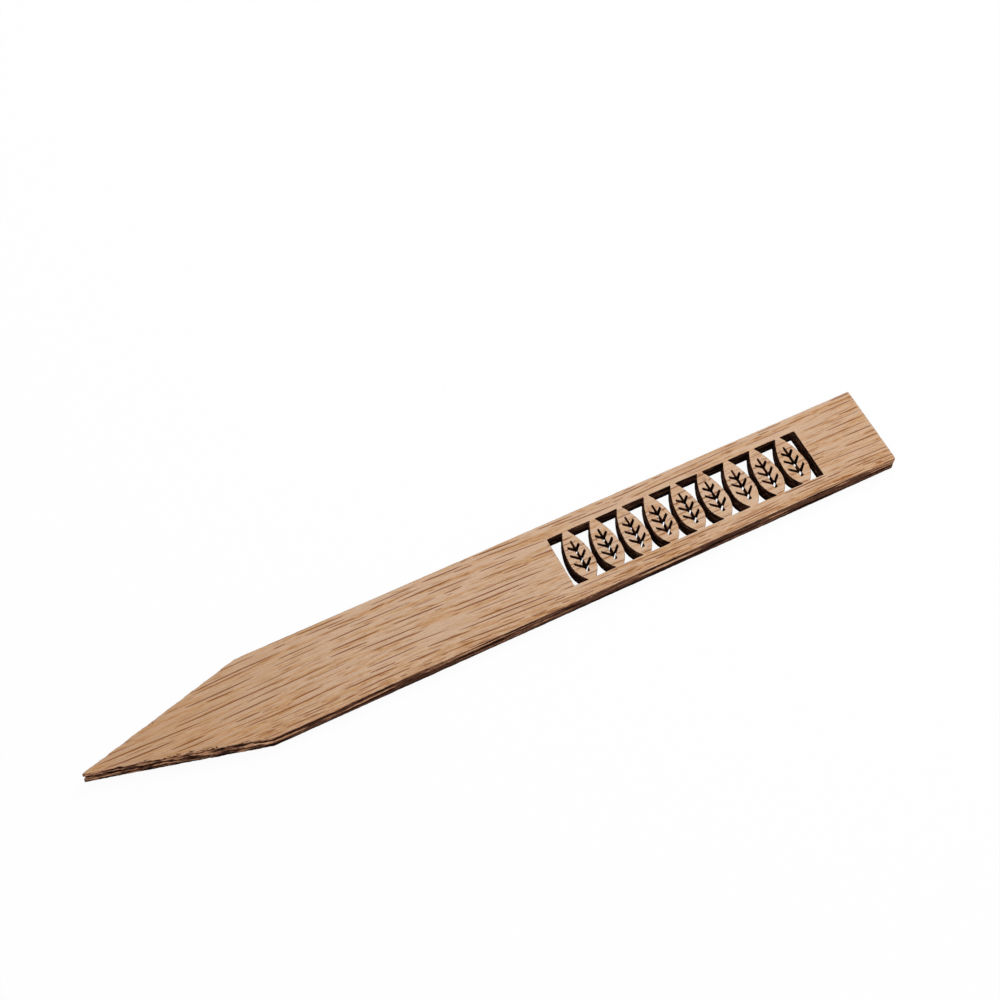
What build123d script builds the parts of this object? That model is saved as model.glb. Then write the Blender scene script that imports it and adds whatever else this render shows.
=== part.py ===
from build123d import *

import os
from math import atan2, sin

# Plant label stake: a pointed strip of oak, three plies glued face to face and cut out in one go.
# It lies on its back face with its point towards -X, and +Z runs up through the plies. The origin
# is the middle of its length and width, on the back face. Sizes are in millimetres.

# The strip, whose outline every layer shares
stake_length = 190.0  # from the blunted point to the square end
stake_width = 20.0
point_length = 38.0  # from the shoulders to where the two slanted edges would meet
tip_radius = 0.15  # blunts the point
end_corner_radius = 0.3  # eases the two corners of the square end

# The layers
back_ply_thickness = 1.25
core_ply_thickness = 1.3
front_ply_thickness = 1.25
glue_film_thickness = 0.1  # the cured glue between two plies

# The window, which the cutter opens near the square end, round a row of standing leaves
window_end_margin = 16.9  # wood left between the window and the square end
rail_width = 3.7  # wood left between the window and each long edge
end_slot_width = 1.5  # from each end of the window to the widest part of the leaf beside it

# The leaves, left in the wood from the rail at -Y to the rail at +Y
leaf_count = 9
leaf_width = 5.8
leaf_gap = 1.0  # between two leaves, where they are widest
leaf_stalk_width = 1.9  # where a leaf grows out of its rail
leaf_tip_width = 1.3  # where its tip joins the other rail
leaf_widest_share = 0.36  # of the leaf's height, measured from the stalk

# The veins, cut through each leaf as one slit that branches
vein_rim_width = 0.9  # wood left between the veins and the leaf's edge
midrib_foot_width = 0.75
midrib_top_width = 0.35
midrib_foot_margin = 1.8  # from the stalk's rail to the midrib's foot
midrib_top_margin = 2.6  # from the midrib's top to the tip's rail
vein_pair_count = 3
vein_root_width = 0.55
vein_end_width = 0.3
vein_angle = 42.0  # degrees above a line across the leaf
vein_pitch = 2.35  # from one pair to the next, along the midrib
first_vein_rise = 0.95  # from the midrib's foot to the first pair

# Worked out from the sizes above
half_width = stake_width / 2
point_half_angle = atan2(half_width, point_length)
blunting = tip_radius / sin(point_half_angle) - tip_radius  # length that the rounding takes off
end_x = stake_length / 2
sharp_point_x = -stake_length / 2 - blunting
shoulder_x = sharp_point_x + point_length
window_height = stake_width - 2 * rail_width
stalk_y = -window_height / 2
tip_y = window_height / 2
midrib_foot_y = stalk_y + midrib_foot_margin
midrib_top_y = tip_y - midrib_top_margin
leaf_pitch = leaf_width + leaf_gap
leaf_row_length = leaf_count * leaf_width + (leaf_count - 1) * leaf_gap
window_length = leaf_row_length + 2 * end_slot_width
window_x = end_x - window_end_margin - window_length / 2
first_leaf_x = window_x - leaf_row_length / 2 + leaf_width / 2


def strip_face():
    """The pointed strip, seen from above, before the window is cut."""
    face = Polygon(
        (sharp_point_x, 0),
        (shoulder_x, -half_width),
        (end_x, -half_width),
        (end_x, half_width),
        (shoulder_x, half_width),
        align=None,
    )
    face = fillet(face.vertices().sort_by(Axis.X)[0], tip_radius)
    return fillet(face.vertices().group_by(Axis.X)[-1], end_corner_radius)


def leaf_face():
    """One leaf, as tall as the window: each flank is two arcs that meet where the leaf is widest."""
    widest = Vector(leaf_width / 2, stalk_y + leaf_widest_share * window_height)
    stalk = Vector(leaf_stalk_width / 2, stalk_y)
    tip = Vector(leaf_tip_width / 2, tip_y)
    lower_arc = TangentArc(widest, stalk, tangent=(0, -1))
    upper_arc = TangentArc(widest, tip, tangent=(0, 1))
    right_flank = lower_arc + upper_arc
    left_flank = mirror(right_flank, Plane.YZ)
    foot = Line(stalk, (-stalk.X, stalk.Y))
    top = Line(tip, (-tip.X, tip.Y))
    return make_face(right_flank + left_flank + foot + top)


def slit_face(length, start_width, end_width):
    """A straight slit from the origin along +X, which changes width evenly."""
    return Polygon(
        (0, -start_width / 2),
        (length, -end_width / 2),
        (length, end_width / 2),
        (0, start_width / 2),
        align=None,
    )


def vein_face():
    """The branching slit in one leaf: the midrib and its side veins, which stop short of the edge."""
    midrib_length = midrib_top_y - midrib_foot_y
    midrib = slit_face(midrib_length, midrib_foot_width, midrib_top_width)
    slits = Pos(0, midrib_foot_y) * Rot(0, 0, 90) * midrib
    side_vein = slit_face(leaf_width, vein_root_width, vein_end_width)
    for number in range(vein_pair_count):
        root = Pos(0, midrib_foot_y + first_vein_rise + number * vein_pitch)
        slits += root * Rot(0, 0, vein_angle) * side_vein
        slits += root * Rot(0, 0, 180 - vein_angle) * side_vein
    return slits & offset(leaf_face(), amount=-vein_rim_width)


def window_face():
    """All that is cut out of the strip: the window round the leaves, and each leaf's veins."""
    leaf_places = [Pos(first_leaf_x + number * leaf_pitch, 0) for number in range(leaf_count)]
    leaf = leaf_face()
    veins = vein_face()
    opening = Pos(window_x, 0) * Rectangle(window_length, window_height)
    opening -= [place * leaf for place in leaf_places]
    return opening + [place * veins for place in leaf_places]


def layers():
    """Each layer's name and solid, from the back face up. The layers touch face to face."""
    stack = {
        "back_ply": back_ply_thickness,
        "back_glue_film": glue_film_thickness,
        "core_ply": core_ply_thickness,
        "front_glue_film": glue_film_thickness,
        "front_ply": front_ply_thickness,
    }
    face = strip_face() - window_face()
    base_z = 0
    for name, thickness in stack.items():
        yield name, Pos(0, 0, base_z) * extrude(face, thickness)
        base_z += thickness


os.makedirs("parts", exist_ok=True)
for name, solid in layers():
    export_step(solid, f"parts/{name}.step")
    print(name, "solids", len(solid.solids()), "volume", round(solid.volume, 1), "mm3")
print("window from x", round(window_x - window_length / 2, 2), "to", round(window_x + window_length / 2, 2))
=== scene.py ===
# %% [markdown]
# The stake lies as it was packed: three oak plies and two films of glue, each a solid with sharp edges.
# Everything below dresses those solids. Their sizes are read from the frame, and one millimetre is
# written as `mm` because Blender works in metres.

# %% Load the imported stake
import math

import bmesh
import bpy
import numpy as np
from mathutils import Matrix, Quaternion, Vector, kdtree
from mathutils.geometry import delaunay_2d_cdt


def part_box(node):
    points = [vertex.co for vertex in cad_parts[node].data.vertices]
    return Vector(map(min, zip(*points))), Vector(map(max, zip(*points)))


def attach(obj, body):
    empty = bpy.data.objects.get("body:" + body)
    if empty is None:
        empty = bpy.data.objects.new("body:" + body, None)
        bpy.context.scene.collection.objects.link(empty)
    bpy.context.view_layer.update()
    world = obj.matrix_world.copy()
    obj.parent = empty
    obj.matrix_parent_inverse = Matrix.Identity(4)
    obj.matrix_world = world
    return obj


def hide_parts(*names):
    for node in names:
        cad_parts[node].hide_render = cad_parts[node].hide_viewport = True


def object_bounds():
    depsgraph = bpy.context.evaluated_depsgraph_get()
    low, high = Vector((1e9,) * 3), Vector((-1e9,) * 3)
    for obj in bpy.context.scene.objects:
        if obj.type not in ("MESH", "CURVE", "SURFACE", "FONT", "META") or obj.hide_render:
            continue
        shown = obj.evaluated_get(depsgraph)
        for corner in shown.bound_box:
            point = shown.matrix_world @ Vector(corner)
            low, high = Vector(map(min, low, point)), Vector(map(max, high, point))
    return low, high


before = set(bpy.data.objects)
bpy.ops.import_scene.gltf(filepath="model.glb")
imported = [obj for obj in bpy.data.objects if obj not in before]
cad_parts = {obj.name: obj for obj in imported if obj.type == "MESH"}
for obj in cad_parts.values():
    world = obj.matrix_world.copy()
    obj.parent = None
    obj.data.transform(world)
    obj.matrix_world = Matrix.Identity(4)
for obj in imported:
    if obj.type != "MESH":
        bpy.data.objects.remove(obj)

mm = 0.001
cad_box = [list(corner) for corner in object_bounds()]
half_length, half_width, stake_thick = np.array(cad_box[1]) / mm
print("CAD box in mm:", np.round(np.array(cad_box) / mm, 2).tolist())

# %% [markdown]
# Materials and Geometry Nodes are node trees, and code that makes and links every node by hand is hard to
# read. `Wire` stands for one output socket, and each Python operator on it adds a Math node. `Graph.add`
# makes any other node from its type, its settings and its inputs.

# %% A small language for node trees
class Wire:
    """One output socket of a tree: an expression on wires adds its Math nodes."""

    def __init__(self, graph, socket):
        self.graph = graph
        self.socket = socket

    def math(self, operation, *values):
        settings = {"operation": operation}
        return self.graph.add("ShaderNodeMath", settings, dict(enumerate(values)))

    def __add__(self, other):
        return self.math("ADD", self, other)

    def __sub__(self, other):
        return self.math("SUBTRACT", self, other)

    def __rsub__(self, other):
        return self.math("SUBTRACT", other, self)

    def __mul__(self, other):
        return self.math("MULTIPLY", self, other)

    __radd__, __rmul__ = __add__, __mul__

    def most(self, other):
        return self.math("MAXIMUM", self, other)

    def sine(self):
        return self.math("SINE", self)

    def ramp(self, low, high):
        """0 at low and below, 1 at high and above, with a smooth rise between them."""
        settings = {"interpolation_type": "SMOOTHSTEP"}
        return self.graph.add("ShaderNodeMapRange", settings, {0: self, 1: low, 2: high})


class Graph:
    """A node tree, with one method that adds any node."""

    def __init__(self, tree):
        self.tree = tree

    def add(self, kind, settings=None, inputs=None, output=0):
        """Makes a node, sets its settings, fills its inputs with values or wires, returns one output."""
        node = self.tree.nodes.new(kind)
        for name, value in (settings or {}).items():
            setattr(node, name, value)
        for name, value in (inputs or {}).items():
            if isinstance(value, Wire):
                self.tree.links.new(value.socket, node.inputs[name])
            elif value is not None:
                node.inputs[name].default_value = value
        return Wire(self, node.outputs[output])

    def compare(self, operation, first, second):
        return self.add("FunctionNodeCompare", {"operation": operation}, {0: first, 1: second})

    def mix(self, share, first, second):
        """Mixes two colours: all first at a share of 0, all second at 1."""
        settings = {"data_type": "RGBA", "clamp_factor": True}
        return self.add("ShaderNodeMix", settings, {0: share, 6: first, 7: second}, 2)

    def split(self, vector):
        """The three numbers of a vector, each as a wire."""
        node = self.add("ShaderNodeSeparateXYZ", inputs={0: vector}).socket.node
        return [Wire(self, output) for output in node.outputs]

    def noise(self, x, y, z, detail=2.0, roughness=0.5):
        """Cloudy noise from 0 to 1 at a place given by three wires, in cycles."""
        place = self.add("ShaderNodeCombineXYZ", inputs={0: x, 1: y, 2: z})
        inputs = {"Vector": place, "Scale": 1.0, "Detail": detail, "Roughness": roughness}
        return self.add("ShaderNodeTexNoise", inputs=inputs)

    def end(self, kind, result):
        """Adds the tree's last node and feeds the result into it."""
        last = self.tree.nodes.new(kind)
        self.tree.links.new(result.socket, last.inputs[0])


print("a wire takes +, - and *")

# %% [markdown]
# Three steps below are Geometry Nodes trees: reading the path, burning the edge, scattering splinters.
# A tree could stay live on its object, but other software sees only plain meshes, so `grow` runs it once
# and keeps the result.

# %% Helpers for Geometry Nodes trees
def new_tree(name, inputs):
    """A Geometry Nodes tree with geometry in and out, and one input socket for each named value."""
    tree = bpy.data.node_groups.new(name, "GeometryNodeTree")
    tree.interface.new_socket("Geometry", in_out="OUTPUT", socket_type="NodeSocketGeometry")
    for label, kind in {"Geometry": "Geometry", **inputs}.items():
        tree.interface.new_socket(label, in_out="INPUT", socket_type=f"NodeSocket{kind}")
    graph = Graph(tree)
    start = tree.nodes.new("NodeGroupInput")
    wires = {socket.name: Wire(graph, socket) for socket in start.outputs if socket.name}
    return graph, wires


def stored(graph, label, kind="FLOAT"):
    """The values that a mesh carries under a name."""
    return graph.add("GeometryNodeInputNamedAttribute", {"data_type": kind}, {"Name": label})


def end_tree(graph, geometry, material=None):
    """Every tree ends alike: instances become real, and the material is set."""
    real = graph.add("GeometryNodeRealizeInstances", inputs={"Geometry": geometry})
    dressed = graph.add("GeometryNodeSetMaterial", inputs={"Geometry": real, "Material": material})
    graph.end("NodeGroupOutput", dressed)


def new_object(name, data):
    """Puts a mesh, a lamp or a camera into the scene."""
    body = bpy.data.objects.new(name, data)
    bpy.context.scene.collection.objects.link(body)
    return body


def grow(mesh, tree, values, name):
    """Runs a tree on a mesh and returns the result as a plain mesh."""
    body = new_object(name, mesh)
    modifier = body.modifiers.new(name, "NODES")
    modifier.node_group = tree
    for item in tree.interface.items_tree:
        if item.in_out == "INPUT" and item.name in values:
            modifier[item.identifier] = values[item.name]
    depsgraph = bpy.context.evaluated_depsgraph_get()
    grown = bpy.data.meshes.new_from_object(body.evaluated_get(depsgraph), depsgraph=depsgraph)
    bpy.data.objects.remove(body)
    grown.name = name
    return grown


print("tree helpers ready")

# %% [markdown]
# The cutter's path is the outline of every layer, with its window. The CAD solid holds it already, so a
# Geometry Nodes tree takes it from there: it keeps the faces that look up, turns their free edges into
# curves and sets fine, even points along them, as a burnt edge needs later.

# %% Read the cutter's path from the CAD
point_spacing = 0.22 * mm
merge_distance = 0.001 * mm
seen_as_up = 0.5


def cutter_path_tree():
    graph, wire = new_tree("cutter_path", {"Point spacing": "Float"})
    normal = graph.add("GeometryNodeInputNormal")
    looks_up = graph.compare("GREATER_THAN", graph.split(normal)[2], seen_as_up)
    top = graph.add("GeometryNodeSeparateGeometry", {"domain": "FACE"},
                    {"Geometry": wire["Geometry"], "Selection": looks_up})
    faces_beside = graph.add("GeometryNodeInputMeshEdgeNeighbors")
    free_edge = graph.add("FunctionNodeCompare", {"data_type": "INT", "operation": "EQUAL"},
                          {2: faces_beside, 3: 1})
    path = graph.add("GeometryNodeMeshToCurve", inputs={"Mesh": top, "Selection": free_edge})
    even = graph.add("GeometryNodeResampleCurve", {"mode": "LENGTH"},
                     {"Curve": path, "Length": wire["Point spacing"]})
    end_tree(graph, graph.add("GeometryNodeCurveToMesh", inputs={"Curve": even}))
    return graph.tree


def merged_copy(mesh):
    """A CAD node's mesh is loose triangles, so a copy of it is joined up first."""
    joined = bmesh.new()
    joined.from_mesh(mesh)
    bmesh.ops.remove_doubles(joined, verts=joined.verts, dist=merge_distance)
    copy = bpy.data.meshes.new("merged_copy")
    joined.to_mesh(copy)
    joined.free()
    return copy


path_mesh = grow(merged_copy(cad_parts["front_ply"].data), cutter_path_tree(),
                 {"Point spacing": point_spacing}, "cutter_path")
print("the path has", len(path_mesh.vertices), "points,", round(point_spacing / mm, 2), "mm apart")

# %% [markdown]
# The tree's edges come in no set order. Followed from point to point they close into loops, one round
# the outside and one for each opening. The outer one runs anticlockwise and the others clockwise, so that
# the wood always lies to the left.

# %% Follow the path round into loops
def closed_loops(mesh):
    """The mesh's edges, followed round into closed loops of XY points, in millimetres."""
    beside = {}
    for edge in mesh.edges:
        for here, there in (edge.vertices, reversed(edge.vertices)):
            beside.setdefault(here, []).append(there)
    left = set(beside)
    found = []
    while left:
        loop = [min(left)]
        while loop[-1] in left:
            left.remove(loop[-1])
            loop += [index for index in beside[loop[-1]] if index in left][:1]
        found.append(np.array([mesh.vertices[index].co.xy for index in loop]) / mm)
    return found


def area_of(loop):
    """Signed area: positive when the loop runs anticlockwise."""
    after = np.roll(loop, -1, axis=0)
    return 0.5 * np.sum(loop[:, 0] * after[:, 1] - after[:, 0] * loop[:, 1])


loops = sorted(closed_loops(path_mesh), key=lambda loop: -np.ptp(loop[:, 0]))
outer_way = [1] + [-1] * (len(loops) - 1)
loops = [loop if area_of(loop) * way > 0 else loop[::-1] for loop, way in zip(loops, outer_way)]
areas = [area_of(loop) for loop in loops]
print("openings:", len(loops) - 1, "with", round(-sum(areas[1:]), 1), "mm2 of", round(areas[0], 1))

# %% [markdown]
# Wood fibres don't run dead straight. Here they fall by about a degree towards the square end, bow up
# behind the point and fall steepest before the window. The mesh and the materials need the same flow, so
# one formula takes plain arrays as well as wires, with the sine handed in.

# %% The flow of the grain
def grain_shift(x, y, sine):
    """How far the fibres lie off a straight line, towards +Y, in millimetres."""
    fall = 0.001 * x * (y - 19)
    long_bow = 0.5 * sine(0.055 * x + 2.8)
    slow_wave = 0.11 * sine(0.118 * x + 0.22 * y)
    short_wave = 0.05 * sine(0.285 * x + 0.9 * y)
    return fall + long_bow + slow_wave + short_wave


every_mm = np.arange(-half_length, half_length)
steepest = np.abs(np.diff(grain_shift(every_mm, 0.0, np.sin))).max()
print("steepest grain:", round(math.degrees(math.atan(steepest)), 2), "degrees off the length")

# %% [markdown]
# A hot cut eats wood unevenly. Where the path crosses the fibres at a slant, near the camera, the edge
# breaks away in small steps; along the fibres it only wavers. Each point of the path gets the deepest
# bite it may have there, and the direction into the wood. Bites only go inwards, inside the CAD box.

# %% How deep the burn bites along the path
bite_near_slant = 0.27
bite_far_slant = 0.16
bite_near_side = 0.16
bite_far_side = 0.08
bite_square_end = 0.08
bite_window = 0.06
blend_points = 7
slant_from, slant_fade = 0.1, 0.1
square_end_facing = 0.5
slim_half_width, slim_bite, slim_bite_rise = 4, 0.02, 0.15

ring_start = np.cumsum([0] + [len(loop) for loop in loops])
ring_size = int(ring_start[-1])
path_points = np.concatenate(loops)


def per_loop(function):
    """Applies a function to each loop and joins the results."""
    return np.concatenate([function(loop) for loop in loops])


def into_the_wood(loop):
    along = np.roll(loop, -1, axis=0) - np.roll(loop, 1, axis=0)
    across = np.stack([-along[:, 1], along[:, 0]], axis=1)
    return across / np.linalg.norm(across, axis=1, keepdims=True)


inward = per_loop(into_the_wood)


def slant_share(inward_x):
    """0 on walls that run along the stake, 1 on the slanted edges of the point."""
    return np.clip((inward_x - slant_from) / slant_fade, 0, 1)


def deepest_bite(loop):
    if loop is not loops[0]:
        return np.full(len(loop), bite_window)
    inward_x = into_the_wood(loop)[:, 0]
    slanted = slant_share(inward_x)
    slant_bite = np.where(loop[:, 1] < 0, bite_near_slant, bite_far_slant)
    side_bite = np.where(loop[:, 1] < 0, bite_near_side, bite_far_side)
    bite = side_bite + (slant_bite - side_bite) * slanted
    bite = np.where(-inward_x > square_end_facing, bite_square_end, bite)
    reach = np.arange(-blend_points, blend_points + 1)
    bite = np.mean([np.roll(bite, shift) for shift in reach], axis=0)
    half_wide = np.abs(loop[:, 1])
    slim_point = (loop[:, 0] < 0) * (half_wide < slim_half_width)
    return np.where(slim_point, np.minimum(bite, slim_bite + slim_bite_rise * half_wide), bite)


path_bite = per_loop(deepest_bite)
outer_count = len(loops[0])
on_outline = np.arange(ring_size) < outer_count
near_slant = slant_share(inward[:, 0]) * on_outline * (path_points[:, 1] < 0)
print("path points:", ring_size, "deepest bites in mm:", np.round([path_bite.min(), path_bite.max()], 2))

# %% [markdown]
# Pores and faces have to know how near a cut is. A k-d tree finds the nearest point of the path, and the
# stretches on either side of it give the distance. A proximity node could do so too, but only on a mesh,
# and here the answer is needed to make one.

# %% Measure from the walls
path_tree = kdtree.KDTree(ring_size)
for index, (x, y) in enumerate(path_points):
    path_tree.insert((x, y, 0), index)
path_tree.balance()
before = per_loop(lambda loop: np.roll(loop, 1, axis=0))
after = per_loop(lambda loop: np.roll(loop, -1, axis=0))


def segment_distance(points, start, end):
    run = end - start
    share = np.sum((points - start) * run, axis=1) / np.sum(run * run, axis=1)
    closest = start + np.clip(share, 0, 1)[:, None] * run
    return np.linalg.norm(points - closest, axis=1)


def measure_from_walls(points):
    """How far each point is from the nearest wall, and the number of the path point there."""
    nearest = np.array([path_tree.find((x, y, 0))[1] for x, y in points])
    here = path_points[nearest]
    distance = np.minimum(segment_distance(points, before[nearest], here),
                          segment_distance(points, here, after[nearest]))
    return distance, nearest


print("points in the k-d tree:", ring_size)

# %% [markdown]
# Oak's large pores show on a sanded face as dark, shallow strokes that taper at both ends. They could be
# painted, but light catches in real grooves. So each becomes one in the mesh: a floor line and two banks,
# with points closest near a wall or an end. Charred splits use the same class.

# %% One pore or split
point_step, middle_step = 0.35, 3
close_to_wall, close_to_end = 1, 0.8
taper = 0.35
cell_x, cell_y, cell_clearance = 0.5, 0.05, 0.06
grid_margin_x, grid_margin_y = 40, 5
window_low = min(loop[:, 0].min() for loop in loops[1:]) - close_to_wall
window_high = max(loop[:, 0].max() for loop in loops[1:]) + close_to_wall
point_end = loops[0][np.abs(loops[0][:, 1]) > half_width - 0.05, 0].min()


class Stroke:
    """A bowed line along the grain with a tapered width."""

    def __init__(self, start, end, row, width, strength):
        self.start, self.end, self.row, self.width, self.strength = start, end, row, width, strength
        fine = np.arange(start, end, point_step)
        fine_y = row + grain_shift(fine, row, np.sin)
        in_window = (fine > window_low) & (fine < window_high)
        near_wall = (fine < point_end) | (np.abs(fine_y) > half_width - close_to_wall)
        near_end = np.minimum(fine - start, end - fine) < close_to_end
        sparse = np.arange(len(fine)) % middle_step == 0
        self.x = np.append(fine[in_window | near_wall | near_end | sparse], end)
        self.y = row + grain_shift(self.x, row, np.sin)
        self.half = self.half_at(self.x)

    def half_at(self, x):
        """Half the width at x, nearly full along most of the stroke and pointed at its ends."""
        share = np.clip((x - self.start) / (self.end - self.start), 0, 1)
        return 0.5 * self.width * np.sin(np.pi * share).clip(0, 1) ** taper

    def cells(self):
        """The cells of a coarse grid that the stroke covers, and a little beside it."""
        fine_x = np.arange(self.start, self.end, cell_x)
        middle = self.row + grain_shift(fine_x, self.row, np.sin)
        reach = np.arange(-self.width / 2 - cell_clearance, self.width / 2 + cell_clearance, cell_y)
        rows = ((middle[:, None] + reach + half_width + grid_margin_y) / cell_y).astype(int)
        columns = ((fine_x + half_length + grid_margin_x) / cell_x).astype(int)
        return np.repeat(columns, len(reach)), rows.ravel()

    def blackness(self, x, y):
        """The stroke's strength on its floor line, falling to 0 on its banks."""
        half = self.half_at(x)
        away = np.abs(y - self.row - grain_shift(x, self.row, np.sin))
        fullness = np.clip(3 * half / self.width, 0, 1)
        return self.strength * fullness * np.clip(1 - away / (half + 1e-6), 0, 1)


print("the point ends at", round(point_end, 1), "mm")

# %% [markdown]
# Pores follow the growth rings, so they come in rows, with small ones between, and they crowd near this
# board's long edges. Dice with a fixed seed lay them down. Each stroke marks its cells in a coarse grid,
# and a later one that would cross it is left out.

# %% Rows of pores
grid_size = (800, 600)
row_gap, gap_in_row = (1.0, 2.1), (0.8, 10)
edge_strips = ((-9.6, -7.6, 240), (7.6, 9.6, 60))
scattered_pores = 200


def draw_pores(seed, splits=()):
    """Rows of long pores and a scatter of short ones, crossing neither each other nor the splits."""
    dice = np.random.default_rng(seed)
    taken = np.zeros(grid_size, bool)
    strokes = list(splits)
    for split in splits:
        taken[split.cells()] = True

    def try_stroke(start, length, row, width, strength):
        stroke = Stroke(start, start + length, row, width, strength)
        cells = stroke.cells()
        if not taken[cells].any():
            taken[cells] = True
            strokes.append(stroke)

    row = -half_width - 3
    while row < half_width + 3:
        start = -half_length - dice.uniform(0, 18)
        while start < half_length:
            length = dice.uniform(4, 13) + 14 * dice.random() ** 2.5
            bold = dice.random() ** 0.7
            try_stroke(start, length, row + dice.normal(0, 0.2), 0.33 + 0.2 * bold, 0.6 + 0.4 * bold)
            start += length + dice.uniform(*gap_in_row)
        row += dice.uniform(*row_gap)
    for low, high, tries in edge_strips:
        for _ in range(tries):
            start, length = dice.uniform(-60, half_length), 2 + 8 * dice.random() ** 1.5
            row = dice.uniform(low, high) - grain_shift(start, low, np.sin)
            try_stroke(start, length, row, dice.uniform(0.3, 0.44), dice.uniform(0.85, 1.0))
    for _ in range(scattered_pores):
        start, row = dice.uniform(-half_length, half_length), dice.uniform(-half_width, half_width)
        length = 1.5 + 6.5 * dice.random() ** 1.6
        try_stroke(start, length, row, dice.uniform(0.24, 0.36), dice.uniform(0.3, 0.7))
    return strokes


back_pores = draw_pores(23)
print("pores on the back:", len(back_pores))

# %% [markdown]
# Heat has opened the slanted edge near the camera, and short black splits run from it into the wood, along
# the grain. They start a little outside the path and are laid before the pores. Their strength is above
# 1, which no pore's is, and so the material can tell them apart.

# %% Charred splits
split_spacing, split_lead, split_chance = 0.4, 0.6, 0.6
shortest_split, longer_near_corner, longer_near_tip = 1.9, 2.1, 1.2


def draw_splits(seed):
    dice = np.random.default_rng(seed)
    edge = path_points[near_slant > 0.9]
    splits = []
    for height in np.arange(-half_width + split_spacing, -3.0, split_spacing):
        start = np.interp(height, *edge[edge[:, 1].argsort()].T[::-1]) - split_lead
        row = height - grain_shift(start, height, np.sin) + dice.uniform(-0.1, 0.1)
        longer = longer_near_corner if height < -6 else longer_near_tip
        length = shortest_split + longer * dice.random() ** 1.4
        if dice.random() < split_chance:
            width, strength = dice.uniform(0.18, 0.28), dice.uniform(1.8, 3.0)
            splits.append(Stroke(start, start + length, row, width, strength))
    return splits


splits = draw_splits(7)
front_pores = draw_pores(11, splits)
print("splits:", len(splits), "pores on the front:", len(front_pores) - len(splits))

# %% [markdown]
# A face needs points of its own in two places. Rows of loose points beside the path carry the rounded rim
# and the bites of the burn. A pore needs its floor line and its banks, tied by edges that the triangles
# may not cross, and is cut short where a wall comes close.

# %% Points and lines on a face
wall_clearance, least_half_width = 0.15, 0.01
rim_rows = (0.11, 0.3)
side_rows = (0.75, 1.5, 2.6)
thin_out, own_wall = 0.3, 0.93


def rows_beside_the_path(distances):
    """Loose points at set distances from the path, without those that land nearer to another wall."""
    rows = []
    for distance in distances:
        count = ring_size if distance in rim_rows else outer_count
        step = 1 if distance in rim_rows else int(distance / thin_out)
        chosen = np.arange(0, count, step)
        points = path_points[chosen] + distance * inward[chosen]
        clear = measure_from_walls(points)[0] > own_wall * distance
        rows.append(points[clear])
    return np.concatenate(rows)


def groove_lines(stroke, first):
    """The stretches of a pore clear of walls, as points and edges numbered from `first`."""
    line = np.stack([stroke.x, stroke.y], axis=1)
    inside = (np.abs(line[:, 0]) < half_length) & (np.abs(line[:, 1]) < half_width)
    distance, nearest = measure_from_walls(line)
    towards = np.sum((line - path_points[nearest]) * inward[nearest], axis=1)
    clear = inside & (towards > 0) & (distance > stroke.half + wall_clearance)
    points, edges = [], []
    for run in np.split(np.arange(len(line)), np.flatnonzero(np.diff(clear.astype(int))) + 1):
        if not clear[run[0]] or len(run) < 3:
            continue
        middle, half = line[run], np.maximum(stroke.half[run], least_half_width)[:, None] * (0, 1)
        start, count = first + len(points), len(run)
        points.extend(np.concatenate([middle, middle + half, middle - half]))
        for bank in (start, start + count, start + 2 * count):
            edges += [(bank + i, bank + i + 1) for i in range(count - 1)]
        for end in (start, start + count - 1):
            edges += [(end, end + count), (end, end + 2 * count)]
    return points, edges


print("rows beside the path, in mm:", *rim_rows, *side_rows)

# %% [markdown]
# A face of the stake is a flat sheet with holes, full of grooves. `delaunay_2d_cdt` fills it with
# triangles that respect every given line, which no Boolean does as cleanly. Each triangle comes with the
# loop that it lies in, so those inside an opening are left out. A face between two layers is never seen,
# so it has no grooves and fewer rows.

# %% Fill a face with triangles
plain_rows = (0.35, 1.0)
rim_drop = 0.045
same_place = 1e-6


def fill_face(strokes, distances, drop):
    """Points beyond the ring's own, triangles over both, and how far the ring lies below the face."""
    points = list(path_points)
    points.extend(rows_beside_the_path(distances))
    edges = []
    for stroke in strokes:
        new_points, new_edges = groove_lines(stroke, len(points))
        points.extend(new_points)
        edges.extend(new_edges)
    outlines = [list(range(start, end))[::way]
                for start, end, way in zip(ring_start, ring_start[1:], outer_way)]
    places, _, triangles, sources, _, owners = delaunay_2d_cdt(
        [Vector(point) for point in points], edges, outlines, 0, same_place, True)
    number, extra = [], []
    for place, source in zip(places, sources):
        on_ring = [origin for origin in source if origin < ring_size]
        number.append(on_ring[0] if on_ring else ring_size + len(extra))
        if not on_ring:
            extra.append(place)
    kept = [[number[corner] for corner in triangle]
            for triangle, owner in zip(triangles, owners) if owner == [0]]
    return np.array(extra), kept, drop


plain_face = fill_face([], plain_rows, 0.0)
front_face = fill_face(front_pores, rim_rows + side_rows, rim_drop)
back_face = fill_face(back_pores, rim_rows + side_rows, rim_drop)
print("triangles on the front:", len(front_face[1]), "on the back:", len(back_face[1]))

# %% [markdown]
# Along the near side and the slanted edge beside it the heat has left long marks: black bands where the
# cut ran slowly, and pale ones where the wood behind the soot broke out. They follow the fibres, so each
# is a slim, slightly tilted ellipse, and noise alone would not put them where the eye knows them. Each
# row says, in millimetres from the point and from the back face: where the mark starts and ends, how high
# it is at each end, half its height, and how much paler it is, or sootier below 0.

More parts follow.
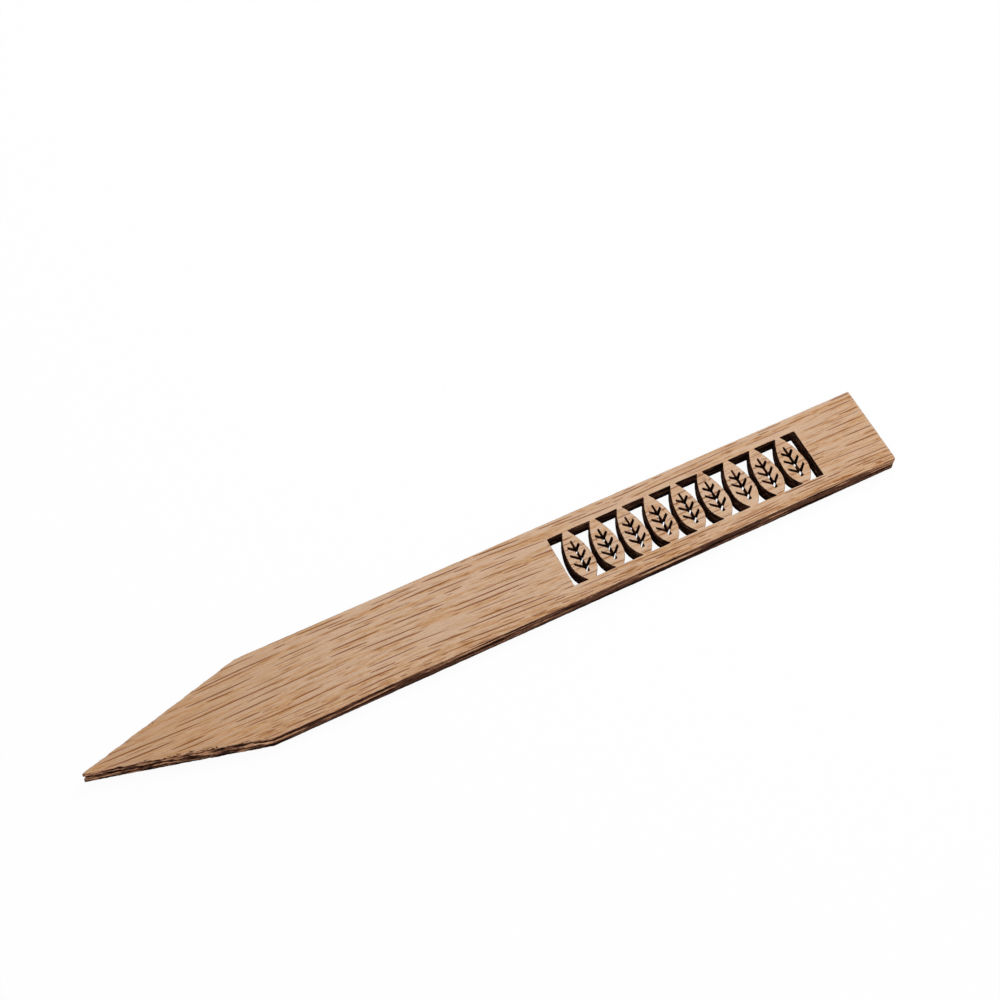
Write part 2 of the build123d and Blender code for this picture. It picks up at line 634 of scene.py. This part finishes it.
# %% Marks of the heat on the near side
mark_weight, mark_crispness = 1.4, 2.2
heat_marks = (
    (2, 14, 3.5, 3.5, 0.4, -0.16), (1, 8, 2.75, 2.65, 0.3, 0.16), (0, 9, 2.0, 1.9, 0.3, -0.1),
    (0, 9, 0.95, 0.95, 0.45, 0.08), (15, 21, 3.1, 3.1, 0.6, 0.12), (20, 26, 2.9, 2.4, 0.8, 0.2),
    (25, 29, 3.5, 3.4, 0.3, -0.15), (29, 32, 3.4, 3.0, 0.35, -0.15), (33, 37, 3.1, 2.9, 0.3, -0.15),
    (27, 38, 2.2, 2.0, 0.5, 0.12), (55, 66, 3.4, 3.5, 0.3, -0.1), (28, 61, 3.8, 3.9, 0.3, 0.1),
    (36, 54, 3.1, 3.0, 0.4, -0.15), (33, 46, 2.1, 1.9, 0.45, 0.2), (48, 53, 2.0, 2.0, 0.3, 0.1),
    (53, 66, 1.7, 2.6, 0.42, 0.2), (52, 66, 1.0, 1.7, 0.4, -0.16), (30, 44, 0.8, 0.9, 0.35, -0.1),
    (71, 80, 2.5, 2.6, 0.4, 0.08), (78, 101, 3.7, 3.7, 0.3, -0.12), (79, 90, 3.1, 3.1, 0.35, 0.17),
    (86, 102, 3.0, 2.9, 0.3, 0.07), (79, 94, 2.0, 2.1, 0.42, -0.17), (79, 91, 1.25, 1.3, 0.3, 0.06),
    (104, 110, 3.4, 2.4, 0.4, -0.1), (123, 139, 3.5, 3.5, 0.35, -0.17), (123, 140, 2.45, 2.4, 0.5, 0.27),
    (121, 147, 1.3, 1.35, 0.42, -0.15), (112, 146, 0.7, 0.7, 0.4, -0.07), (123, 129, 1.2, 1.2, 0.25, 0.09),
    (140, 156, 2.2, 1.8, 0.8, -0.06), (156, 163, 2.4, 2.3, 0.3, 0.09), (166, 176, 3.8, 3.6, 0.35, -0.14),
    (174, 178, 3.2, 3.1, 0.35, 0.1), (162, 175, 1.0, 1.0, 0.4, -0.15), (183, 192, 3.4, 3.3, 0.3, 0.1),
    (183, 192, 2.4, 2.3, 0.3, 0.09), (178, 192, 1.5, 1.5, 0.4, -0.1),
)
faces_near = np.clip(inward[:, 1], 0, 1) ** 8 * on_outline


def marks_on(nearest, height):
    """What the marks add to the wall beside a path point."""
    total = 0
    for start, end, low, high, half_height, paler in heat_marks:
        from_middle = path_points[nearest, 0] - ((start + end) / 2 - half_length)
        along = from_middle / ((end - start) / 2)
        up = (height - (low + high) / 2 - (high - low) / (end - start) * from_middle) / half_height
        inside = np.clip(mark_crispness * (1 - along ** 2 - up ** 2), 0, 1)
        total = total + mark_weight * paler * inside
    return total * faces_near[nearest]


print("marks of the heat:", len(heat_marks))

# %% [markdown]
# Materials and Geometry Nodes can read values that a mesh carries. Each point gets the nearest place on
# the wall, the way into the wood, the deepest bite, how burnt and sooty the spot is, and how much of a
# pore covers it. A pattern in space could not place them so exactly.

# %% What each point of a layer carries
bite_reach = 2.4
bite_at_back, bite_more_in_front = 0.6, 0.4
# The last value is how far the painted highlight along a cut's top rim fades into the face.
rim_highlight_fade = 0.3


class LayerPoints:
    """Points of a layer in the making, with the values stored on each."""

    def __init__(self):
        self.count = 0
        self.places = []
        self.values = {}

    def put(self, points, heights, nearest, distance, wall_height, pore=0.0):
        flat = np.zeros(len(points))
        on_wall = np.where(distance > 0, 0.0, 1.0)
        fade = np.clip(1 - distance / bite_reach, 0, 1) ** 2
        given = {
            "foot": np.column_stack([path_points[nearest], flat + wall_height]),
            "into_wood": np.column_stack([inward[nearest], flat]),
            "bite": path_bite[nearest] * fade * (
                bite_at_back + bite_more_in_front * wall_height / stake_thick),
            "burnt": on_wall,
            "soot": 1.0 - on_outline[nearest],
            "fray": near_slant[nearest] * on_wall,
            "mark": marks_on(nearest, wall_height) * on_wall,
            # The rim value masks a painted highlight: a pale line along the top rim of every cut.
            "rim_highlight": np.clip(1 - (distance - rim_rows[-1]) / rim_highlight_fade, 0, 1),
            "pore": pore + flat,
        }
        self.places.append(np.column_stack([points, heights + flat]))
        for label, values in given.items():
            self.values.setdefault(label, []).append(values)
        self.count += len(points)

    def to_mesh(self, name, faces):
        mesh = bpy.data.meshes.new(name)
        mesh.from_pydata(np.concatenate(self.places) * mm, [], faces)
        for label, stretches in self.values.items():
            values = np.concatenate(stretches).astype(np.float32)
            kind, field = ("FLOAT_VECTOR", "vector") if values.ndim == 2 else ("FLOAT", "value")
            attribute = mesh.attributes.new(label, kind, "POINT")
            attribute.data.foreach_set(field, values.ravel())
        return mesh


print("a bite fades out over", bite_reach, "mm of the face")

# %% [markdown]
# Each layer is a stack of rings of the same path, joined by quads, with a filled face below and above.
# An extruded outline would do for a clean cut, but these rings can be shifted and bitten one by one. The
# mesh still closes, because both faces end on the rings' own points.

# %% Build a layer
pore_depth = 0.05


def pore_cover(points, strokes):
    covered = [stroke.blackness(points[:, 0], points[:, 1]) for stroke in strokes]
    return np.max(covered, axis=0) if covered else np.zeros(len(points))


def layer_mesh(name, heights, shifts, faces_below_and_above, strokes):
    """A closed layer: one ring for each height, moved by its shift, and a filled face at each end."""
    points = LayerPoints()
    for height, shift in zip(heights, shifts):
        points.put(path_points + shift, height, np.arange(ring_size), np.zeros(ring_size), height)
    faces = []
    for level in range(len(heights) - 1):
        for first, last in zip(ring_start, ring_start[1:]):
            here = level * ring_size + np.arange(first, last)
            there = np.roll(here, -1)
            faces += np.column_stack([here, there, there + ring_size, here + ring_size]).tolist()
    ring_bases = (0, (len(heights) - 1) * ring_size)
    for face, ring_base, end, outward in zip(faces_below_and_above, ring_bases, (0, -1), (-1, 1)):
        extra, triangles, drop = face
        extra_base = points.count - ring_size
        distance, nearest = measure_from_walls(extra)
        cover = pore_cover(extra, strokes) if drop else np.zeros(len(extra))
        level = heights[end] + outward * drop
        moved = extra + shifts[end][nearest]
        points.put(moved, level - outward * pore_depth * cover, nearest, distance, level, cover)
        corners = np.array(triangles)
        corners += np.where(corners < ring_size, ring_base, extra_base)
        faces += corners[:, ::outward].tolist()
    return points.to_mesh(name, faces)


print("points on each ring:", ring_size)

# %% [markdown]
# The burn itself is a Geometry Nodes tree. It moves each point into the wood by its bite times a cloudy
# noise, stretched along the fibres, as wood breaks. Every point reads it at its own foot on the wall, so
# points behind one another move together and the faces stay whole. The depth is stored, because the
# deepest places are also toasted most.

# %% Let the burn bite
burn_sizes = {"Along the grain": 0.3, "Across the grain": 1.5, "Through the plies": 0.9, "Seed": 3.0}
smooth_up_to = math.radians(38)


def burn_tree():
    graph, wire = new_tree("burn", dict.fromkeys(burn_sizes, "Float"))

    x, y, z = graph.split(stored(graph, "foot", "FLOAT_VECTOR"))
    coarse = graph.noise(x * wire["Along the grain"] + wire["Seed"], y * wire["Across the grain"],
                         z * wire["Through the plies"], 3.0, 0.6)
    fine = graph.noise(x * 2.1 + wire["Seed"], y * 5.0, z * 3.7, 2.0, 0.6)
    depth = stored(graph, "bite") * (0.78 * coarse.ramp(0.34, 0.7) + 0.3 * fine.ramp(0.3, 0.75))
    away = graph.add("ShaderNodeVectorMath", {"operation": "SCALE"},
                     {0: stored(graph, "into_wood", "FLOAT_VECTOR"), "Scale": depth * mm})
    moved = graph.add("GeometryNodeSetPosition", inputs={"Geometry": wire["Geometry"], "Offset": away})
    kept = graph.add("GeometryNodeStoreNamedAttribute", {"data_type": "FLOAT", "domain": "POINT"},
                     {"Geometry": moved, "Name": "depth", "Value": depth})
    end_tree(graph, kept)
    return graph.tree


burn = burn_tree()


def finish_layer(mesh, name):
    """Burns a layer, shades it smooth with crisp corners and keeps it as a plain mesh."""
    burnt = grow(mesh, burn, burn_sizes, name)
    burnt.polygons.foreach_set("use_smooth", [True] * len(burnt.polygons))
    burnt.set_sharp_from_angle(angle=smooth_up_to)
    return new_object(name, burnt)


print("burn tree has", len(burn.nodes), "nodes")

# %% [markdown]
# The three plies and the two films share the path but not the heights of their rings. Towards the tip
# the core has burnt back further than the plies on it, and leaves the point split into two lips. Its
# rings are pulled along +X there, most at the top.

# %% Stack the layers
tip_pull, tip_pull_reach, back_film_pull = 0.9, 2.6, 0.15
seam_recess, seam_room_share = 0.22, 0.35

from_tip = path_points[:, 0] + half_length
pull_share = np.exp(-np.maximum(from_tip, 0) / tip_pull_reach) * on_outline
pull = np.column_stack([tip_pull * pull_share, np.zeros(ring_size)])
room = np.clip(np.abs(path_points[:, 1]) * seam_room_share, 0, seam_recess)
seam = inward * (near_slant * room)[:, None]


def heights_of(node, shares):
    low, high = [corner[2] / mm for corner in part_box(node)]
    return [low + (high - low) * share for share in shares]


ply_shares = (0.0, 0.13, 0.3, 0.47, 0.64, 0.81, 1.0)
front_heights = heights_of("front_ply", ply_shares)
front_heights[-1] -= rim_drop
back_heights = heights_of("back_ply", [1 - share for share in reversed(ply_shares)])
back_heights[0] += rim_drop
core_heights = heights_of("core_ply", (0.0, 0.17, 0.34, 0.5, 0.66, 0.83, 1.0))
core_open = (0.15, 0.18, 0.28, 0.42, 0.6, 0.87, 1.0)

unmoved = [np.zeros((ring_size, 2))] * len(ply_shares)
core_shifts = [share * (pull + seam) for share in core_open]
hidden = [plain_face, plain_face]
layers = {
    "front_ply": (front_heights, unmoved, [plain_face, front_face], front_pores),
    "back_ply": (back_heights, unmoved, [back_face, plain_face], back_pores),
    "core_ply": (core_heights, core_shifts, hidden, []),
    "front_glue_film": (heights_of("front_glue_film", (0.0, 1.0)), [pull + seam] * 2, hidden, []),
    "back_glue_film": (heights_of("back_glue_film", (0.0, 1.0)), [back_film_pull * pull] * 2, hidden, []),
}
pieces = {}
for node, parts in layers.items():
    pieces[node] = finish_layer(layer_mesh(node, *parts), node + "_dressed")
    dressed = pieces[node].data
    print(node, "has", len(dressed.vertices), "points and", len(dressed.polygons), "faces")

# %% [markdown]
# On the slanted edge that faces the camera, splinters of wood lie along the grain and stand off the
# burnt wall. One tapered sliver of twelve faces is enough, scattered by Geometry Nodes with a fixed seed,
# because no single one can be told apart. Each is given its own share of char, so their shades differ.

# %% Scatter the splinters
splinter_room = 0.17 * mm
splinter_sizes = {"Per square metre": 2.4e6, "Longest": 2.2 * mm, "Thickest": 0.08 * mm,
                  "Lowest": splinter_room, "Highest": cad_box[1][2] - splinter_room}
splinter_seed = 5


def splinter_tree():
    kinds = {**dict.fromkeys(splinter_sizes, "Float"), "Seed": "Int", "Material": "Material"}
    graph, wire = new_tree("splinters", kinds)
    seed = wire["Seed"]

    def dice(low, high, shift):
        return graph.add("FunctionNodeRandomValue", {"data_type": "FLOAT"},
                         {2: low, 3: high, "Seed": seed + shift}, 1)

    density = stored(graph, "fray") * wire["Per square metre"]
    spots = graph.add("GeometryNodeDistributePointsOnFaces", {"distribute_method": "RANDOM"},
                      {"Mesh": wire["Geometry"], "Density": density, "Seed": seed})
    height = graph.split(graph.add("GeometryNodeInputPosition"))[2]
    too_low = graph.compare("LESS_THAN", height, wire["Lowest"])
    too_high = graph.compare("GREATER_THAN", height, wire["Highest"])
    outside = graph.add("FunctionNodeBooleanMath", {"operation": "OR"}, {0: too_low, 1: too_high})
    fitting = graph.add("GeometryNodeDeleteGeometry", {"domain": "POINT"},
                        {"Geometry": spots, "Selection": outside})
    sliver = graph.add("GeometryNodeMeshCone", {"fill_type": "TRIANGLE_FAN"},
                       {"Vertices": 4, "Radius Top": 0.25, "Radius Bottom": 1.0, "Depth": 1.0})
    length = wire["Longest"] * dice(0.2, 1.0, 1)
    thickness = wire["Thickest"] * dice(0.4, 1.0, 2)
    size = graph.add("ShaderNodeCombineXYZ", inputs={0: thickness, 1: thickness * 0.6, 2: length})
    turn = graph.add("ShaderNodeCombineXYZ", inputs={
        0: dice(-0.12, 0.12, 3), 1: math.pi / 2 + dice(-0.09, 0.09, 4), 2: dice(-0.1, 0.1, 5)})
    placed = graph.add("GeometryNodeInstanceOnPoints",
                       inputs={"Points": fitting, "Instance": sliver, "Rotation": turn, "Scale": size})
    shaded = graph.add("GeometryNodeStoreNamedAttribute", {"data_type": "FLOAT", "domain": "INSTANCE"},
                       {"Geometry": placed, "Name": "burnt", "Value": dice(0.6, 1.0, 6)})
    end_tree(graph, shaded, wire["Material"])
    return graph.tree


splinters = splinter_tree()
print("sliver tree has", len(splinters.nodes), "nodes")

# %% [markdown]
# Fresh oak runs from pale wood through golden rings to brown flecks and pores, and burnt oak from toasted
# wood to soot. A shader takes linear light, so each colour is written as a screen shows it, and `seen`
# translates it.

# %% Colours as they are seen
def seen(red, green, blue):
    """A colour as a screen shows it, 0 to 255, in the linear numbers that a shader takes."""
    linear = [((value / 255 + 0.055) / 1.055) ** 2.4 for value in (red, green, blue)]
    return (*linear, 1.0)


print("a middle grey in linear light:", round(seen(128, 128, 128)[0], 3))

# %% [markdown]
# Grain runs through the whole board, so every pattern below is a noise in space, at Object coordinates in
# millimetres, bent by the same flow as the mesh. Painted images would show seams where a face meets a
# wall. Bare wood has no gloss, so the Principled surface keeps its specular at 0.

# %% Helpers for materials
def stored_value(graph, label):
    return graph.add("ShaderNodeAttribute", {"attribute_name": label}, output="Fac")


def new_material(name):
    material = bpy.data.materials.new(name)
    material.use_nodes = True
    material.node_tree.nodes.clear()
    return material, Graph(material.node_tree)


def end_material(graph, colour, roughness, height, lift, specular=0.0):
    """A Principled surface with a bump of the given lift in metres."""
    bump = graph.add("ShaderNodeBump", inputs={"Height": height, "Strength": 1.0, "Distance": lift})
    surface = graph.add("ShaderNodeBsdfPrincipled", inputs={
        "Base Color": colour, "Roughness": roughness, "Normal": bump, "Specular IOR Level": specular})
    graph.end("ShaderNodeOutputMaterial", surface)


def place_in_mm(graph):
    place = graph.add("ShaderNodeTexCoord", output="Object")
    return [axis * (1 / mm) for axis in graph.split(place)]


def across_the_grain(graph, x, y, z):
    """How far a place lies across the fibres, which wander and ripple as well as flow."""
    wander = graph.noise(x * 0.03, y * 0.14, z * 0.2, 1.0)
    ripple = graph.noise(x * 0.13 + 7, y * 0.45, z * 0.4, 2.0)
    return y - grain_shift(x, y, Wire.sine) + 0.7 * wander + 0.45 * ripple


print("material helpers ready")

# %% [markdown]
# Fresh oak is built up as the eye meets it: pale wood, darker towards the point partly in tone and partly
# as painted shade, warmer bands where the growth rings come up, fine fibres, short flecks and grit, then
# the pores stored on the mesh. Each pattern is a noise, with its cycles per millimetre along the grain,
# across it and upwards. Beside a cut the wood is toasted, and a painted highlight lies along its top rim.

# %% Fresh oak
# The first colour is the wood near the point: darker partly in tone and partly as painted shade.
point_wood_and_shade, pale_wood, warm_wood = seen(200, 163, 131), seen(209, 177, 150), seen(195, 144, 86)
fleck_brown, pore_brown, toasted_wood = seen(157, 103, 59), seen(128, 78, 48), seen(150, 98, 62)
# The first colour here serves pale fibres and also the painted highlight along the cut rims.
pale_fibre_and_rim_highlight, split_black = seen(220, 188, 158), seen(38, 18, 11)
ring_grain, fibre_grain = (0.045, 1.1, 0.5), (0.2, 3.6, 3.0)
dash_grain, grit_grain = (0.3, 3.4, 4.0), (2.4, 5.5, 5.5)
# The last weight sets how strong the painted highlight along the cut rims is.
band_weight, pore_weight, char_weight, rim_highlight_weight = 0.58, 0.95, 0.75, 0.3
edge_warmth, edge_toast, cut_toast = 0.3, 0.1, 0.2


def stretched(graph, x, across, z, grain, detail, roughness=0.5):
    return graph.noise(x * grain[0], across * grain[1], z * grain[2], detail, roughness)


def fresh_oak(graph, x, y, z, across, fibre, dash):
    rings = stretched(graph, x, across, z, ring_grain, 3.0, 0.65)
    grit = stretched(graph, x, across, z, grit_grain, 1.0)
    band = (rings + 0.35 * (fibre - 0.5)).ramp(0.45, 0.63)
    near_edge = (-1 * y).ramp(6.0, 10.0)

    # Darker towards the point and a little towards the square end: partly the wood's own tone, partly
    # painted shade.
    wood = graph.mix(x.ramp(-80.0, -20.0) - 0.35 * x.ramp(65.0, 90.0), point_wood_and_shade, pale_wood)
    wood = graph.mix(band_weight * band, wood, warm_wood)
    wood = graph.mix(edge_warmth * near_edge, wood, warm_wood)
    beside_cut = stored_value(graph, "bite").ramp(0.04, 0.16)
    toast = edge_toast * (-1 * y).ramp(8.9, 10.2) + cut_toast * beside_cut
    wood = graph.mix(toast, wood, toasted_wood)

    wood = graph.mix((1 - fibre).ramp(0.46, 0.66) * (0.15 + 0.7 * near_edge), wood, pale_fibre_and_rim_highlight)
    wood = graph.mix(fibre.ramp(0.42, 0.7) * (0.24 + 0.35 * near_edge), wood, fleck_brown)
    flecks = 0.1 + 0.55 * band + 0.42 * near_edge
    wood = graph.mix(dash.ramp(0.52, 0.62) * flecks, wood, fleck_brown)
    wood = graph.mix(grit.ramp(0.5, 0.7) * (0.22 + 0.12 * near_edge), wood, fleck_brown)

    # A painted highlight: a pale line along the top rim of each cut, broken up by the fibres.
    rim_highlight = stored_value(graph, "rim_highlight")
    wood = graph.mix(rim_highlight * fibre.ramp(0.3, 0.6) * rim_highlight_weight, wood, pale_fibre_and_rim_highlight)
    pore = stored_value(graph, "pore")
    wood = graph.mix(pore.ramp(0.0, 0.8) * pore_weight, wood, pore_brown)
    depth = stored_value(graph, "depth")
    wood = graph.mix(depth.ramp(0.1, 0.4) * char_weight, wood, toasted_wood)
    return graph.mix(pore.ramp(1.05, 1.35), wood, split_black)


print("rings come", round(1 / ring_grain[1], 2), "mm apart, fibres", round(1 / fibre_grain[1], 2), "mm")

# %% [markdown]
# A burnt wall is not one black: it is soot where the cut ran hot, elsewhere char, and bare wood where a
# flake broke out. One number, `heat`, says which, from soot at 0.36 and below to bare wood at 0.95. Long
# layers rule on the sides, wilder blotches on the slanted edge and in the window, and clots everywhere.

# %% Burnt oak
soot_black, char_brown = seen(40, 23, 17), seen(107, 71, 56)
scorched, broken_out = seen(215, 159, 120), seen(248, 200, 160)
side_swing, slant_swing, clot_swing = 0.55, 1.5, 0.42
window_soot, darker_near_bottom = 0.08, 0.07


def burnt_oak(graph, x, y, z, across, clot, wall_seed):
    soot, fray = stored_value(graph, "soot"), stored_value(graph, "fray")
    layer = graph.noise(x * 0.055, y * 0.3, z * 0.75 + wall_seed, 3.0, 0.6)
    blotch = graph.noise(x * 0.2, across * 0.7, z * 1.4 + wall_seed, 3.0, 0.6)
    calm, wild = side_swing * (layer - 0.5), slant_swing * (blotch - 0.5)
    heat = 0.5 + calm + (wild - calm) * fray.most(0.5 * soot) + clot_swing * (clot - 0.5)
    heat = heat + stored_value(graph, "mark") * (0.2 + 1.6 * clot)
    # The window's walls are sootier, and every wall grows darker towards its bottom, over the lowest 1.4
    # mm.
    heat = heat - window_soot * soot - darker_near_bottom * (1 - z.ramp(0.0, 1.4))
    wall = graph.mix(heat.ramp(0.36, 0.5), soot_black, char_brown)
    wall = graph.mix(heat.ramp(0.5, 0.68), wall, scorched)
    return graph.mix(heat.ramp(0.7, 0.95), wall, broken_out)


def oak_material(name, wall_seed):
    """Fresh oak that gives way to burnt oak where the mesh says so."""
    material, graph = new_material(name)
    x, y, z = place_in_mm(graph)
    across = across_the_grain(graph, x, y, z)
    fibre = stretched(graph, x, across, z, fibre_grain, 4.0, 0.65)
    curl = 0.25 * graph.noise(x * 0.8, y * 0.8, z * 0.8, 1.0)
    dash = stretched(graph, x, across + curl, z, dash_grain, 1.0)
    clot = graph.noise(x * 0.7, across * 2.2, z * 2.4, 4.0, 0.65)
    wood = fresh_oak(graph, x, y, z, across, fibre, dash)
    wall = burnt_oak(graph, x, y, z, across, clot, wall_seed)
    burnt = stored_value(graph, "burnt")
    colour = graph.mix(burnt.ramp(0.15, 0.85), wood, wall)
    roughness = 0.6 + 0.15 * fibre + 0.1 * burnt
    end_material(graph, colour, roughness, fibre + 0.4 * dash + 0.8 * clot * burnt, 0.03 * mm)
    return material


finishes = {"oak_face": oak_material("oak_face_grain", 4.0),
            "oak_core": oak_material("oak_core_grain", 9.0)}
print("oak nodes:", len(finishes["oak_face"].node_tree.nodes))

# %% [markdown]
# Between the plies lies cured glue, a tenth of a millimetre thick. The hot cut has made it a brown-black
# line, a little glossier than the wood and pitted where it boiled. It could be a stripe in the oak, but
# in the CAD it is a solid, and so it is here.

# %% Cured glue
glue_black, glue_brown = seen(40, 23, 16), seen(92, 60, 44)


def glue_material():
    material, graph = new_material("burnt_glue")
    x, y, z = place_in_mm(graph)
    blot = graph.noise(x * 0.5, y * 2.0, z * 2.0, 3.0, 0.6)
    colour = graph.mix(blot.ramp(0.35, 0.7), glue_black, glue_brown)
    end_material(graph, colour, 0.45 + 0.3 * blot, blot, 0.02 * mm, 0.03)
    return material


finishes["glue"] = glue_material()
print("glue nodes:", len(finishes["glue"].node_tree.nodes))

# %% [markdown]
# Now every mesh gets its material, picked by its CAD node's slot, and its place in the frame: the body that
# it rides on. The CAD node that it replaces is hidden. The splinters grow from the finished plies, and
# hide no node.

# %% Dress the pieces and hand them to the frame
slots = {"front_ply": "oak_face", "back_ply": "oak_face", "core_ply": "oak_core",
         "front_glue_film": "glue", "back_glue_film": "glue"}


def paint(mesh, finish):
    mesh.materials.clear()
    mesh.materials.append(finish)
    mesh.polygons.foreach_set("material_index", [0] * len(mesh.polygons))


for node, piece in pieces.items():
    paint(piece.data, finishes[slots[node]])
    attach(piece, "root")
    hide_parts(node)
for node in ("front_ply", "core_ply", "back_ply"):
    finish = finishes[slots[node]]
    values = {**splinter_sizes, "Seed": splinter_seed, "Material": finish}
    tufts = grow(pieces[node].data, splinters, values, node + "_splinters")
    paint(tufts, finish)
    tuft_piece = new_object(node + "_splinters", tufts)
    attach(tuft_piece, "root")
    print(tuft_piece.name, "has", len(tufts.polygons), "faces")

# %% [markdown]
# The photograph shows the stake on plain white. The floor gives the camera mostly its own white light
# and takes a share of the lamps' light, so that a soft shadow stays on it. The world is white to the
# camera as well, and lights the stake more dimly.

# %% Floor and world
floor_own_light = 0.95


def white_to_the_eye(graph):
    camera, glossy, through = [graph.add("ShaderNodeLightPath", output=name) for name in
                               ("Is Camera Ray", "Is Glossy Ray", "Is Transmission Ray")]
    return camera.most(glossy).most(through)


def floor_material():
    material, graph = new_material("studio_floor")
    glow = graph.add("ShaderNodeEmission", inputs={"Color": (1, 1, 1, 1), "Strength": 1.0})
    matte = graph.add("ShaderNodeBsdfDiffuse", inputs={"Color": (0.9, 0.9, 0.9, 1)})
    both = graph.add("ShaderNodeMixShader",
                     inputs={0: white_to_the_eye(graph) * floor_own_light, 1: matte, 2: glow})
    graph.end("ShaderNodeOutputMaterial", both)
    return material


floor_half, floor_gap = 3.0, 0.02 * mm
floor_mesh = bpy.data.meshes.new("studio_floor")
corners = [(x * floor_half, y * floor_half, -floor_gap) for x, y in ((-1, -1), (1, -1), (1, 1), (-1, 1))]
floor_mesh.from_pydata(corners, [], [(0, 1, 2, 3)])
floor_mesh.materials.append(floor_material())
floor = new_object("studio_floor", floor_mesh)

ambient = 0.29
world = bpy.data.worlds.new("studio")
bpy.context.scene.world = world
world.use_nodes = True
world.node_tree.nodes.clear()
sky = Graph(world.node_tree)
strength = white_to_the_eye(sky) * (1 - ambient) + ambient
background = sky.add("ShaderNodeBackground", inputs={"Color": (1, 1, 1, 1), "Strength": strength})
sky.end("ShaderNodeOutputWorld", background)
print("the floor lies", floor_gap / mm, "mm under the stake")

# %% [markdown]
# A strong soft box behind the stake on the right leaves the near side dark, and a weaker one on the left
# opens the burnt edge a little. The camera is given as turn, rise and roll about its aim, because those
# can be read and nudged, which a matrix can't.

# %% Lamps and camera
def lamp(name, place, size, power):
    """A square soft box that looks at the middle of the stake."""
    light = bpy.data.lights.new(name, "AREA")
    light.size, light.energy = size, power
    body = new_object(name, light)
    body.location = place
    body.rotation_euler = Vector(place).to_track_quat("Z", "Y").to_euler()


lamp("key", (0.38, 0.22, 0.65), 0.45, 5.0)
lamp("fill", (-0.7, -0.3, 0.6), 0.6, 1.4)

turn, rise, roll = [math.radians(angle) for angle in (-31.36, 59.54, 4.46)]
camera_distance, camera_lens = 0.45502, 73.9
aim = Vector((0.01157, 0.02164, 0))
towards_camera = Vector((math.sin(turn) * math.cos(rise), -math.cos(turn) * math.cos(rise), math.sin(rise)))
camera = bpy.data.cameras.new("camera")
camera.lens = camera_lens
camera.clip_start = 0.01
viewer = new_object("camera", camera)
viewer.location = aim + towards_camera * camera_distance
viewer.rotation_mode = "QUATERNION"
viewer.rotation_quaternion = towards_camera.to_track_quat("Z", "Y") @ Quaternion((0, 0, 1), roll)
bpy.context.scene.camera = viewer
bpy.context.scene.view_settings.view_transform = "Standard"
print("camera at", [round(v / mm, 1) for v in viewer.location], "mm")
